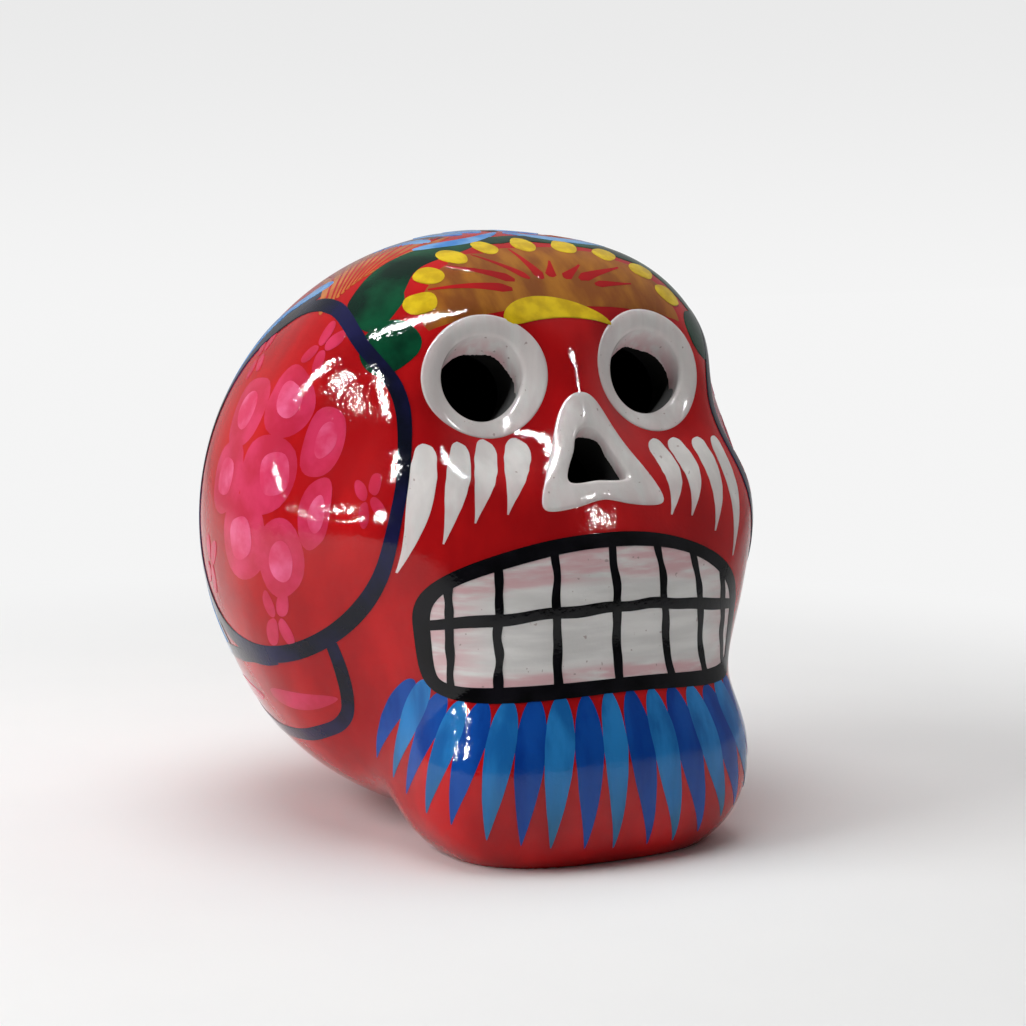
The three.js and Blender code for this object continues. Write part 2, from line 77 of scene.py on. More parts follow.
TEETH_PER_SIDE, TOOTH_TAPER, TEETH_END, TOOTH_TUCK = 4, 0.77, 0.985, 0.6

# Brush work
STROKES, STROKE_LENGTH = 4, 9.6
BEARD_STROKES, BEARD_MIDDLE, BEARD_PITCH, BEARD_CROWDING = 17, -6.5, 7.4, 0.0135
BEARD_TIP_Z, BEARD_TIP_RISE, BEARD_LOWEST, BEARD_SWEEP = 2.2, 9.5, 8, (85, 50)
OVAL_MIDDLE, OVAL_REACH, OVAL_LINE = (2.6, 5), 25, 2.4
BROW_Z, FAN_TILT, FAN_LIFT, FAN_WIDTH, FAN_HEIGHT = 76.6, 50, 1.9, 19.3, 11.8
FAN_START, FAN_SWEEP, FAN_ROOT = 188, 196, 0.1
FAN_DOTS, DOT_START, DOT_SWEEP, DOT_RADIUS = 9, 168, 156, 2
CROWN_RADIUS, SIDE_RADIUS, BACK_RADIUS = 43, 40, 45
SIDE_MIDDLE, BACK_MIDDLE = (0, -3, 50), (0, 0, 45)
CRESCENT_HALF, CRESCENT_WIDTH, CRESCENT_BOW = 8.9, 4.1, 2
FILM, TUCK = 0.08, 0.05

# How far out each search for the clay's surface starts
SHEET_START, JAW_START, FRONT_START, DOME_START, SKIN_START = 30, 60, 70, 75, 80

# Colours as the paints are mixed
RED, DEEP_RED = "#ca181b", "#a91116"
WHITE, PALE_WHITE, PINK_WHITE = "#f3f1ee", "#e3e1de", "#dfadb2"
BLACK, SOFT_BLACK = "#08080a", "#141318"
DARK_BLUE, MID_BLUE = "#093a90", "#134fa8"
LIGHT_BLUE, BRIGHT_BLUE, TEAL_BLUE = "#1962a8", "#2c86cc", "#2f6b89"
YELLOW, DULL_YELLOW = "#f0cf20", "#d3ad1c"
OCHRE, BROWN = "#b57427", "#8d4f22"
NAVY, VIOLET_NAVY = "#0f121e", "#1f1f4c"
PINK, DEEP_PINK, PALE_PINK = "#d93a62", "#c62b48", "#ef6f9a"
GREEN, DARK_GREEN = "#0e5335", "#08261c"
ORANGE, RUST = "#cc7a38", "#a9521f"
SKY, PALE_SKY = "#3f86d2", "#7fb2e6"
SPECK, WASH_SHADE_BLACK, WASH_SHADE_BROWN = "#9c7f78", "#040303", "#0c0807"
PAPER, WARM_PAPER = "#eeeeee", "#f1f1f0"


def blend(a, b, fillet):
    share = np.clip(0.5 + 0.5 * (b - a) / fillet, 0, 1)
    return b + (a - b) * share - fillet * share * (1 - share)


def blob(p, middle, half, plan=2, rise=2):
    a = np.abs(p - middle) / half
    flat = (a[..., 0] ** plan + a[..., 1] ** plan) ** (1 / plan)
    size = (flat**rise + a[..., 2] ** rise) ** (1 / rise)
    slope = np.linalg.norm(a / half, axis=-1) / np.maximum(np.linalg.norm(a, axis=-1), 1e-6)
    return (size - 1) / np.maximum(slope, 1e-6)


def ball(p, middle, radius):
    return np.linalg.norm(p - middle, axis=-1) - radius


def skin(p):
    """How far each point is outside the clay, in millimetres."""
    pair = p.copy()
    pair[..., 0] = np.hypot(p[..., 0], MIRROR_FILLET) - MIRROR_SHIFT
    half = np.empty_like(p)
    half[...] = CRANIUM_HALF
    half[..., 1] = np.where(p[..., 1] < CRANIUM_MIDDLE[1], CRANIUM_HALF[1], CRANIUM_BACK)
    d = blend(blob(p, CRANIUM_MIDDLE, half), blob(p, NAPE_MIDDLE, NAPE_HALF), NAPE_FILLET)
    d = blend(d, ball(pair, BOSS_MIDDLE, BOSS_RADIUS), BOSS_FILLET)
    muzzle = blob(p, MUZZLE_MIDDLE, MUZZLE_HALF, MUZZLE_PLAN)
    face = blend(muzzle, blob(pair, CHEEK_MIDDLE, CHEEK_HALF), FACE_FILLET)
    face = blend(face, blob(p, JAW_MIDDLE, JAW_HALF, JAW_PLAN, JAW_RISE), FACE_FILLET)
    d = blend(d, face, FACE_FILLET)
    d = -blend(-d, ball(pair, TEMPLE_MIDDLE, TEMPLE_RADIUS), TEMPLE_FILLET)
    return -blend(-d, ball(pair, SOCKET_MIDDLE, SOCKET_RADIUS), SOCKET_FILLET)


def clay(p):
    return np.maximum(skin(p), -p[..., 2])


def outward(p, measure=skin):
    steps = np.eye(3) * 0.05
    slope = np.stack([measure(p + step) - measure(p - step) for step in steps], axis=-1)
    return slope / np.linalg.norm(slope, axis=-1, keepdims=True)


def land(start, way, measure=skin, steps=60):
    """Walks each start along its way until it meets the clay."""
    p = np.array(start, float)
    for _ in range(steps):
        p = p + way * np.clip(0.75 * measure(p), -3, 8)[..., None]
    return p


def unit(v):
    return np.asarray(v, float) / np.linalg.norm(v)


class Spot:
    """A sheet of tracing paper held before the clay: at(u, v) is where a pin pushed through it lands."""

    def __init__(self, middle, out, across):
        self.middle = middle
        self.out = unit(out)
        self.across = unit(across)
        self.rise = np.cross(self.out, self.across)

    def at(self, u, v):
        flat = np.multiply.outer(u, self.across) + np.multiply.outer(v, self.rise)
        return land(self.middle + flat + SHEET_START * self.out, -self.out)

    def trace(self, p):
        away = p - self.middle
        return away @ self.across, away @ self.rise, away @ self.out


def facing(x, z, tilt):
    return Spot(before(x, z), *tilted(tilt)[:2])


def tangent(near, up=(0, 0, 1)):
    middle = np.array(near, float)
    for _ in range(30):
        middle = middle - outward(middle) * skin(middle)
    out = outward(middle)
    return Spot(middle, out, np.cross(up, out))


def wrapped(turn, z):
    """Places round the jaw's upright axis, by degrees and height."""
    turn, z = np.broadcast_arrays(np.radians(turn), z)
    out = np.stack((np.sin(turn), -np.cos(turn), np.zeros_like(turn)), axis=-1)
    start = JAW_START * out + np.stack((0 * z, 0 * z + MOUTH_AXIS_Y, z), axis=-1)
    return land(start, -out)


def dome(middle, out, across, rise, radius):
    """Places on a rounded part of the head, laid out flat round one way out from a middle."""

    def at(u, v):
        u, v = np.broadcast_arrays(u, v)
        far, turn = np.hypot(u, v) / radius, np.arctan2(v, u)
        side = np.multiply.outer(np.cos(turn), unit(across))
        side = side + np.multiply.outer(np.sin(turn), unit(rise))
        way = np.multiply.outer(np.cos(far), unit(out)) + np.sin(far)[..., None] * side
        return land(middle + DOME_START * way, -way)

    return at


def before(x, z):
    """Places straight behind points held before the face."""
    x, z = np.broadcast_arrays(x, z)
    return land(np.stack((x, 0 * x - FRONT_START, z), axis=-1), np.array((0, 1.0, 0)))


def tilted(degrees):
    turn = math.radians(degrees)
    return (0, -math.cos(turn), math.sin(turn)), (1, 0, 0), (0, math.sin(turn), math.cos(turn))


CROWN = dome(CRANIUM_MIDDLE, *tilted(FAN_TILT), CROWN_RADIUS)
SIDES = {
    word: dome(np.array(SIDE_MIDDLE), (side, 0, 0), (0, -1, 0), (0, 0, 1), SIDE_RADIUS)
    for word, side in (("right", -1), ("left", 1))
}
BACK = dome(np.array(BACK_MIDDLE), (0, 1, 0), (1, 0, 0), (0, 0, 1), BACK_RADIUS)


def shaky(seed, size, waves=4):
    """A slow unsteadiness of the hand, the same at both ends of a closed line."""
    dice = np.random.default_rng(seed)
    sizes = dice.uniform(0.3, 1, waves) * size / np.sqrt(waves)
    turns = dice.uniform(0, 2 * math.pi, waves)
    return lambda t: sum(
        a * np.sin(2 * math.pi * (k + 1) * t + b) for k, (a, b) in enumerate(zip(sizes, turns))
    )


def soft_step(x, low, high):
    share = np.clip((x - low) / (high - low), 0, 1)
    return share * share * (3 - 2 * share)


def along_line(points):
    """A smooth even walk along a few corner points."""
    corners = np.array(points, float)
    far = np.concatenate(([0], np.cumsum(np.linalg.norm(np.diff(corners, axis=0), axis=1))))
    far /= far[-1]
    fine = np.linspace(0, 1, 241)
    raw = np.stack([np.interp(fine, far, corners[:, k]) for k in (0, 1)], axis=-1)
    for _ in range(60):
        raw[1:-1] = 0.5 * raw[1:-1] + 0.25 * (raw[:-2] + raw[2:])
    lead = raw[0] + (raw[0] - raw[1]) * 4
    tail = raw[-1] + (raw[-1] - raw[-2]) * 4
    raw = np.vstack((lead, raw, tail))
    fine = np.concatenate(([-4 / 240], fine, [1 + 4 / 240]))
    return lambda t: tuple(np.interp(t, fine, raw[:, k]) for k in (0, 1))


def round_line(points):
    """A smooth closed walk through a few points, as many steps to each."""
    corners = np.array(points, float)
    count = len(corners)

    def line(t):
        whole = np.asarray(t) % 1 * count
        i = np.floor(whole).astype(int) % count
        part = (whole - np.floor(whole))[..., None]
        a, b, c, d = (corners[(i + k) % count] for k in (-1, 0, 1, 2))
        bend = 2 * a - 5 * b + 4 * c - d + part * (3 * (b - c) + d - a)
        place = b + 0.5 * part * (c - a + part * bend)
        return place[..., 0], place[..., 1]

    return line


def edged(count, edge=0.03):
    return np.concatenate(([0], np.linspace(edge, 1 - edge, count), [1]))


class Coat:
    """Thin films of paint gathered into one mesh, each tucked into the clay along its edge."""

    def __init__(self):
        self.points, self.normals, self.faces, self.thin, self.count = [], [], [], [], 0

    def film(self, grid, height=FILM, closed=False, thin=0.0):
        rows, cols = grid.shape[:2]
        out = outward(grid)
        lift = np.full((rows, cols), float(height))
        lift[[0, -1]] = -TUCK
        if not closed:
            lift[:, [0, -1]] = -TUCK
        points = grid + out * lift[..., None]
        i, j = np.meshgrid(np.arange(rows - 1), np.arange(cols if closed else cols - 1), indexing="ij")
        k = (j + 1) % cols
        quads = np.stack((i * cols + j, (i + 1) * cols + j, (i + 1) * cols + k, i * cols + k), axis=-1)
        a, b, c = (points.reshape(-1, 3)[quads[rows // 2, cols // 2 - 1, n]] for n in (0, 1, 2))
        if np.cross(b - a, c - a) @ out[rows // 2, cols // 2] < 0:
            quads = quads[..., ::-1]
        self.points.append(points.reshape(-1, 3))
        self.normals.append(out.reshape(-1, 3))
        self.faces.append(quads.reshape(-1, 4) + self.count)
        self.thin.append(np.broadcast_to(thin, (rows, cols)).reshape(-1))
        self.count += rows * cols
        return self

    def stroke(
        self, chart, line, width, height=FILM, across=6, along=30, closed=False, inner=False, thin=None
    ):
        """A brush stroke along a line; an inner one lies wholly on the left of its line."""
        t = np.arange(along) / along if closed else edged(along, 0.012)
        s = edged(across)[:, None] - (0 if inner else 0.5)
        u, v = line(t)
        after, back = line(t + 0.004), line(t - 0.004)
        du, dv = after[0] - back[0], after[1] - back[1]
        size = np.maximum(np.hypot(du, dv), 1e-9)
        grid = chart(u - dv / size * s * width(t), v + du / size * s * width(t))
        fade = np.zeros_like(t) if thin is None else thin(t)
        return self.film(grid, height, closed, np.broadcast_to(fade, grid.shape[:2]))

    def round(self, chart, u, v, wide, tall, lean=0.0, height=FILM, seed=0, thin=0.0):
        """A round or oval touch of the brush."""
        a, b = np.meshgrid(2 * edged(9, 0.02) - 1, 2 * edged(9, 0.02) - 1, indexing="ij")
        x = a * np.sqrt(1 - b * b / 2)
        y = b * np.sqrt(1 - a * a / 2)
        swell = 1 + shaky(seed, 0.07)(np.arctan2(y, x) / (2 * math.pi))
        x, y = x * wide * swell, y * tall * swell
        c, s = math.cos(lean), math.sin(lean)
        return self.film(chart(u + x * c - y * s, v + x * s + y * c), height, thin=thin)


def piece(name, points, faces, finish, nodes=(), normals=None, thin=None):
    mesh = bpy.data.meshes.new(name)
    mesh.from_pydata((points * MM).tolist(), [], [list(map(int, face)) for face in faces])
    mesh.polygons.foreach_set("use_smooth", np.ones(len(mesh.polygons), bool))
    if thin is not None:
        values = mesh.attributes.new("thin", "FLOAT", "POINT").data
        values.foreach_set("value", np.asarray(thin, np.float32))
    mesh.materials.append(finish)
    if normals is not None:
        mesh.normals_split_custom_set_from_vertices(normals.tolist())
    made = bpy.data.objects.new(name, mesh)
    bpy.context.scene.collection.objects.link(made)
    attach(made, "root")
    if nodes:
        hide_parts(*nodes)
    return made


def painted(name, coat, finish, nodes=()):
    join = np.concatenate
    thin = join(coat.thin)
    return piece(name, join(coat.points), join(coat.faces), finish, nodes, join(coat.normals), thin)


class Value:
    """A value in a finish's nodes; sums with it add the nodes that work them out."""

    def __init__(self, tree, output):
        self.tree = tree
        self.output = output

    def node(self, kind, settings, sockets, output=0):
        made = self.tree.nodes.new(kind)
        for key, value in settings.items():
            setattr(made, key, value)
        for key, value in sockets.items():
            if isinstance(value, Value):
                self.tree.links.new(value.output, made.inputs[key])
            else:
                made.inputs[key].default_value = value
        return Value(self.tree, made.outputs[output])

    def sum(self, operation, a, b):
        return self.node("ShaderNodeMath", {"operation": operation}, {0: a, 1: b})

    def __add__(self, other):
        return self.sum("ADD", self, other)

    def __radd__(self, other):
        return self.sum("ADD", other, self)

    def __sub__(self, other):
        return self.sum("SUBTRACT", self, other)

    def __rsub__(self, other):
        return self.sum("SUBTRACT", other, self)

    def __mul__(self, other):
        return self.sum("MULTIPLY", self, other)

    def __rmul__(self, other):
        return self.sum("MULTIPLY", other, self)

    def step(self, low, high):
        ends = {"Value": self, "From Min": low, "From Max": high}
        return self.node("ShaderNodeMapRange", {"interpolation_type": "SMOOTHSTEP"}, ends)

    def noise(self, scale, detail=3.0, stretch=(1, 1, 1)):
        place = self.node("ShaderNodeVectorMath", {"operation": "MULTIPLY"}, {0: self, 1: stretch})
        return self.node("ShaderNodeTexNoise", {}, {"Vector": place, "Scale": scale, "Detail": detail})

    def close(self, surface, finish, kind="ShaderNodeOutputMaterial"):
        self.tree.links.new(surface.output, self.tree.nodes.new(kind).inputs["Surface"])
        return finish

    def colours(self, a, b):
        """The first colour where this value is 0, the second where it is 1."""
        return self.node("ShaderNodeMix", {"data_type": "RGBA"}, {0: self, 6: a, 7: b}, 2)


def shade(code):
    parts = [int(code[i : i + 2], 16) / 255 for i in (1, 3, 5)]
    return (*(c / 12.92 if c <= 0.04045 else ((c + 0.055) / 1.055) ** 2.4 for c in parts), 1)


def open_finish(name):
    finish = bpy.data.materials.new(name)
    finish.use_nodes = True
    finish.node_tree.nodes.clear()
    tree = finish.node_tree
    return finish, Value(tree, tree.nodes.new("ShaderNodeTexCoord").outputs["Object"])


GRIT_SCALE, SWELL_SCALE, CLOUD_SCALE = 1700, 150, 420
VARNISH_IOR, VARNISH_ROUGH, VARNISH_GRIT = 1.36, 0.025, 3.0e-5


def varnished(name, colour_of):
    """Paint under one clear varnish, whose fine grit breaks up the edges of its highlights."""
    finish, place = open_finish(name)
    grit = place.noise(GRIT_SCALE, 2.0)
    swell = place.noise(SWELL_SCALE, 2.0) * 3
    bump = {"Strength": 1.0, "Distance": VARNISH_GRIT, "Height": grit + swell}
    sockets = {
        "Base Color": colour_of(place),
        "Roughness": VARNISH_ROUGH + 0.06 * place.noise(CLOUD_SCALE, 2.0).step(0.35, 0.75),
        "IOR": VARNISH_IOR,
        "Normal": place.node("ShaderNodeBump", {}, bump),
    }
    return place.close(place.node("ShaderNodeBsdfPrincipled", {}, sockets), finish)


def two_tones(light, dark, stretch=(1, 1, 1), scale=240.0, under=None, specks=None):
    """Brush streaks of two tones, with a third where the paint is thin, and specks."""

    def colour_of(place):
        brush = place.noise(scale, 4.0, stretch).step(0.34, 0.68)
        colour = brush.colours(shade(dark), shade(light))
        if under:
            thin = place.node("ShaderNodeAttribute", {"attribute_name": "thin"}, {}, 2)
            patchy = place.noise(scale * 1.7, 5.0, stretch).step(0.25, 0.62)
            colour = (thin * patchy).colours(colour, shade(under))
        if specks:
            pits = place.noise(1100, 1.0).step(0.735, 0.76)
            colour = (pits * 0.55).colours(colour, shade(specks))
        return colour

    return colour_of


UPRIGHT = (1, 1, 0.16)
LEVEL = (0.25, 0.25, 1.6)
FINISHES = {
    "red": varnished("red_paint_on_clay", two_tones(RED, DEEP_RED, (1, 1, 0.5), 90)),
    "white": varnished("white_paint", two_tones(WHITE, PALE_WHITE, UPRIGHT, 300, PINK_WHITE, SPECK)),
    "tooth": varnished("tooth_white", two_tones(WHITE, PALE_WHITE, LEVEL, 320, PINK_WHITE, SPECK)),
    "black": varnished("black_line", two_tones(BLACK, SOFT_BLACK)),
    "dark_blue": varnished("dark_blue_stroke", two_tones(DARK_BLUE, MID_BLUE, UPRIGHT, 260, MID_BLUE)),
    "light_blue": varnished(
        "light_blue_stroke", two_tones(LIGHT_BLUE, BRIGHT_BLUE, UPRIGHT, 260, TEAL_BLUE)
    ),
    "yellow": varnished("yellow_touch", two_tones(YELLOW, DULL_YELLOW, (1, 1, 1), 420)),
    "ochre": varnished("ochre_petal", two_tones(OCHRE, BROWN, (1, 0.4, 0.4), 300, RUST)),
    "navy": varnished("navy_line", two_tones(VIOLET_NAVY, NAVY, (1, 1, 1), 75)),
    "pink": varnished("pink_petal", two_tones(PINK, DEEP_PINK, (1, 1, 1), 170)),
    "pale_pink": varnished("pale_pink_touch", two_tones(PALE_PINK, PINK, (1, 1, 1), 210, PINK)),
    "green": varnished("green_leaf", two_tones(GREEN, DARK_GREEN, (1, 1, 1), 130)),
    "orange": varnished("orange_feather", two_tones(ORANGE, RUST, (1, 1, 1), 260)),
    "sky": varnished("sky_feather", two_tones(SKY, PALE_SKY, (1, 1, 1), 200)),
}
# Near-black for the hollow and for the hole walls below the white: an assumed dark wash, darkened further
# as painted shade of the closed hollow
WASH_AND_SHADE, wash_and_shade_place = open_finish("dark_wash_and_painted_shade")
wash_and_shade_tone = wash_and_shade_place.noise(300).step(0.3, 0.7).colours(shade(WASH_SHADE_BLACK), shade(WASH_SHADE_BROWN))
wash_and_shade_surface = wash_and_shade_place.node("ShaderNodeBsdfPrincipled", {}, {"Base Color": wash_and_shade_tone, "Roughness": 0.9})
wash_and_shade_place.close(wash_and_shade_surface, WASH_AND_SHADE)


def triangle(turn, side, base, top, crisp):
    """The blunt triangle of the nose: its reach at each turn, from its two sides, base and top."""
    walls = ((NOSE_SLANT, side), (180 - NOSE_SLANT, side), (-90, base), (90, top))
    total = sum(np.maximum(0, np.cos(turn - math.radians(a)) / d) ** crisp for a, d in walls)
    return total ** (-1 / crisp)


def oval(turn, half):
    return 1 / np.hypot(np.cos(turn) / half[0], np.sin(turn) / half[1])


def eye_hole(turn):
    return oval(turn, EYE_HOLE)


def eye_edge(turn):
    return oval(turn, (EYE_HOLE[0] + EYE_BAND, EYE_HOLE[1] + EYE_BAND))


def nose_hole(turn):
    return triangle(turn, *NOSE_HOLE)


def nose_edge(turn):
    notch = NOSE_NOTCH * np.maximum(0, -np.sin(turn)) ** 6
    return triangle(turn, *NOSE_RIM) * (1 - notch)


HOLES = {
    "right_eye": (facing(-EYE_X, EYE_Z, EYE_TILT), eye_hole, eye_edge),
    "left_eye": (facing(EYE_X, EYE_Z, EYE_TILT), eye_hole, eye_edge),
    "nose": (facing(0, NOSE_Z, NOSE_TILT), nose_hole, nose_edge),
}


def globe(steps, middle, place):
    """A welded skin of even squares round a middle."""
    spread = np.tan(np.linspace(-0.25, 0.25, steps + 1) * math.pi)
    a, b = np.meshgrid(spread, spread, indexing="ij")
    one = np.ones_like(a)
    ways, faces = [], []
    i, j = np.meshgrid(np.arange(steps), np.arange(steps), indexing="ij")
    corner = i * (steps + 1) + j
    square = np.stack((corner, corner + steps + 1, corner + steps + 2, corner + 1), axis=-1)
    square = square.reshape(-1, 4)
    for axis in range(3):
        for sign in (1, -1):
            way = np.stack((sign * one, sign * a, b), axis=-1)
            ways.append(np.roll(way, axis, axis=-1).reshape(-1, 3))
            faces.append(square + len(faces) * (steps + 1) ** 2)
    ways = np.concatenate(ways)
    ways /= np.linalg.norm(ways, axis=-1, keepdims=True)
    _, first, back = np.unique(np.round(ways, 6), axis=0, return_index=True, return_inverse=True)
    return place(np.array(middle, float), ways[first]), back.reshape(-1)[np.concatenate(faces)]


def outside_holes(points, faces, margin):
    """The faces that keep clear of the eye and nose holes by a margin."""
    inside = np.zeros(len(points), bool)
    for spot, hole, _ in HOLES.values():
        u, v, w = spot.trace(points)
        near = (w > -HOLE_REACH) & (np.hypot(u, v) < HOLE_REACH)
        inside |= near & (np.hypot(u, v) < hole(np.arctan2(v, u)) + margin)
    return faces[~inside[faces].any(axis=1)]


# The clay skin and its hollow, painted near-black inside as a dark wash and painted shade
SKIN_STEPS, SKIN_MIDDLE = 170, (0, MOUTH_AXIS_Y, 34.9)
HOLLOW_STEPS, HOLLOW_MIDDLE, HOLLOW_MARGIN = 60, (0, -5.6, 43.9), 0.5


def from_outside(middle, way):
    return land(middle + SKIN_START * way, -way, clay)


def depth(p):
    return -(clay(p) + WALL)


def from_inside(middle, way):
    return land(middle + 0 * way, way, depth)


points, faces = globe(SKIN_STEPS, SKIN_MIDDLE, from_outside)
kept = outside_holes(points, faces, RIM_ROUND)
halves = ("face_half", "cranium_half")
piece("clay_skin", points, kept, FINISHES["red"], halves, outward(points, clay))
points, faces = globe(HOLLOW_STEPS, HOLLOW_MIDDLE, from_inside)
kept = outside_holes(points, faces, HOLLOW_MARGIN)
piece("hollow_inside", points, kept[:, ::-1], WASH_AND_SHADE)


# White rims of the eyes and nose, with the throats below them painted near-black as a dark wash and
# painted shade
def ring_faces(rows, cols):
    i, j = np.meshgrid(np.arange(rows - 1), np.arange(cols), indexing="ij")
    k = (j + 1) % cols
    quads = np.stack((i * cols + j, i * cols + k, (i + 1) * cols + k, (i + 1) * cols + j), axis=-1)
    return quads.reshape(-1, 4)


def rim(name, node, seed, deep):
    """A white rim that lies round a hole, turns over its edge and ends raggedly a little way down."""
    spot, hole, edge = HOLES[name]
    turn = np.linspace(0, 2 * math.pi, 160, endpoint=False)
    share = turn / (2 * math.pi)
    inner = hole(turn) + shaky(seed, 0.16)(share)
    outer = edge(turn) + shaky(seed + 1, 0.3)(share)
    dice = np.random.default_rng(seed + 2)
    ragged = deep + shaky(seed + 3, 0.12 * deep, 7)(share) + dice.uniform(-0.02, 0.02, len(turn)) * deep
    rows, thin = [], []

    def row(reach, height, fade):
        flat = spot.at(reach * np.cos(turn), reach * np.sin(turn))
        rows.append(flat + np.multiply.outer(np.broadcast_to(height, turn.shape), spot.out))
        thin.append(np.broadcast_to(fade, turn.shape))

    row(outer, -TUCK, 0.8)
    for part in np.linspace(0.05, 1, 9):
        reach = outer + (inner + RIM_ROUND - outer) * part
        row(reach, FILM + 0.12 * math.sin(math.pi * part), 0.12 + 0.25 * (1 - part) ** 2)
    for bend in np.radians((22, 45, 68, 90)):
        row(inner + RIM_ROUND * (1 - math.sin(bend)), FILM - RIM_ROUND * (1 - math.cos(bend)), 0.15)
    lip = rows[-1]
    inward = spot.out + HOLE_LEAN * spot.rise
    for part in (0.15, 0.35, 0.6, 0.8, 1):
        rows.append(lip - np.multiply.outer((ragged - RIM_ROUND) * part, inward))
        thin.append(np.full(turn.shape, 0.2 + 0.6 * part))
    rim_points = np.concatenate(rows)
    faces = ring_faces(len(rows), len(turn))[:, ::-1]
    white, thin = FINISHES["white"], np.concatenate(thin)
    piece(name + "_white", rim_points, faces, white, (node,), thin=thin)
    middle = lip.mean(axis=0)
    # The throat's near-black is painted shade over an assumed dark wash
    loop = middle + THROAT_GROWTH * (lip - middle)
    throat = [loop - down * spot.out for down in np.linspace(0.3 * deep, THROAT_DEPTH, THROAT_ROWS)]
    piece(name + "_throat", np.concatenate(throat), ring_faces(THROAT_ROWS, len(turn))[:, ::-1], WASH_AND_SHADE)


rim("right_eye", "right_eye_rim", 11, EYE_DEPTH)
rim("left_eye", "left_eye_rim", 23, EYE_DEPTH)
rim("nose", "nose_rim", 35, NOSE_DEPTH)


# The mouth, in millimetres along the jaw and in height
def mouth(arc, z):
    return wrapped(MOUTH_MIDDLE + np.degrees(arc / MOUTH_REACH), z)


def span(share):
    return np.radians(np.where(share < 0, MOUTH_RIGHT, MOUTH_LEFT)) * MOUTH_REACH


def parting(share):
    return MOUTH_Z - MOUTH_SAG * share**2


def lip(share, power):
    return (1 - np.minimum(1, np.abs(share)) ** power) ** (1 / power)


def upper_lip(share):
    return parting(share) + MOUTH_UPPER * lip(share, 2.7)


def lower_lip(share):
    return parting(share) - MOUTH_LOWER * lip(share, 5)


def tooth_line(i):
    whole = 1 - TOOTH_TAPER**TEETH_PER_SIDE
    return math.copysign((1 - TOOTH_TAPER ** abs(i)) / whole, i) if i else 0.0


def teeth():
    for i in range(-TEETH_PER_SIDE, TEETH_PER_SIDE):
        for upper in (True, False):
            a, b = max(-TEETH_END, tooth_line(i)), min(TEETH_END, tooth_line(i + 1))
            s, t = np.meshgrid(edged(14, 0.01), edged(14, 0.01), indexing="ij")
            share = a + (b - a) * s
            far = upper_lip(share) - TOOTH_TUCK if upper else lower_lip(share) + TOOTH_TUCK
            grid = mouth(share * span(share), parting(share) + (far - parting(share)) * t)
            ends = 0.75 * soft_step(np.abs(share), 0.62, 0.85)
            fading = (0.34, 0.5) if upper else (0.66, 0.78)
            thin = np.maximum(ends, 0.85 * soft_step(t, *fading))
            word = ("upper" if upper else "lower") + "_tooth_" + str(i + TEETH_PER_SIDE + 1)
            coat = Coat().film(grid, FILM, thin=thin * (0.55 if share.mean() > 0.5 else 1))
            painted("painted_" + word, coat, FINISHES["tooth"], (word,))


def mouth_lines():
    coat = Coat()
    bend = np.linspace(0, math.pi, 200)
    share = np.cos(bend)
    top = np.stack((share * span(share), upper_lip(share)), axis=-1)
    low = np.stack((share * span(share), lower_lip(share)), axis=-1)[::-1]
    band, shake = shaky(51, 0.22, 7), shaky(52, 0.2, 6)
    outline = round_line(np.vstack((top, low[1:-1])))
    frame_width = lambda t: MOUTH_BAND + band(t)
    coat.stroke(mouth, outline, frame_width, 0.16, along=300, closed=True, inner=True)
    level = lambda t: (
        (2 * t - 1) * 0.97 * span(2 * t - 1),
        parting(0.97 * (2 * t - 1)) + shake(t),
    )
    coat.stroke(mouth, level, lambda t: 1.2 * MOUTH_LINE + 0.2 * shaky(53, 1)(t), 0.15, along=90)
    for i in range(1 - TEETH_PER_SIDE, TEETH_PER_SIDE):
        lean = np.random.default_rng(60 + i).uniform(-0.35, 0.35, 2)
        x = tooth_line(i) * span(tooth_line(i))
        high, deep = upper_lip(tooth_line(i)) - 0.5, lower_lip(tooth_line(i)) + 0.5
        sway = shaky(70 + i, 0.16)
        upright = lambda t: (x + lean[0] + (lean[1] - lean[0]) * t + sway(t), high + (deep - high) * t)
        broad = MOUTH_LINE * (1.05 - 0.35 * abs(tooth_line(i)))
        thick = shaky(80 + i, 0.2, 6)
        coat.stroke(mouth, upright, lambda t: broad + thick(t), 0.17, along=36)
    painted("mouth_lines", coat, FINISHES["black"], ("mouth_frame",))


teeth()
mouth_lines()


# Cheek strokes: a blunt head below the eye rim, drawn out to a bent tip
CHEEKS = {
    "right": (-1, 9.7, 4.8, 6, 0.4, 59.6, 3.2, 0.03),
    "left": (1, 12, 3.9, -1.1, 1.6, 58.6, 3.5, 0.3),
}


def comma(t):
    head = np.sqrt(np.maximum(0, 1 - (1 - np.minimum(1, t / 0.1)) ** 2))
    return head * (0.86 + 0.14 * soft_step(t, 0, 0.25)) * (1 - soft_step(t, 0.28, 1.08)) ** 0.85 + 0.015


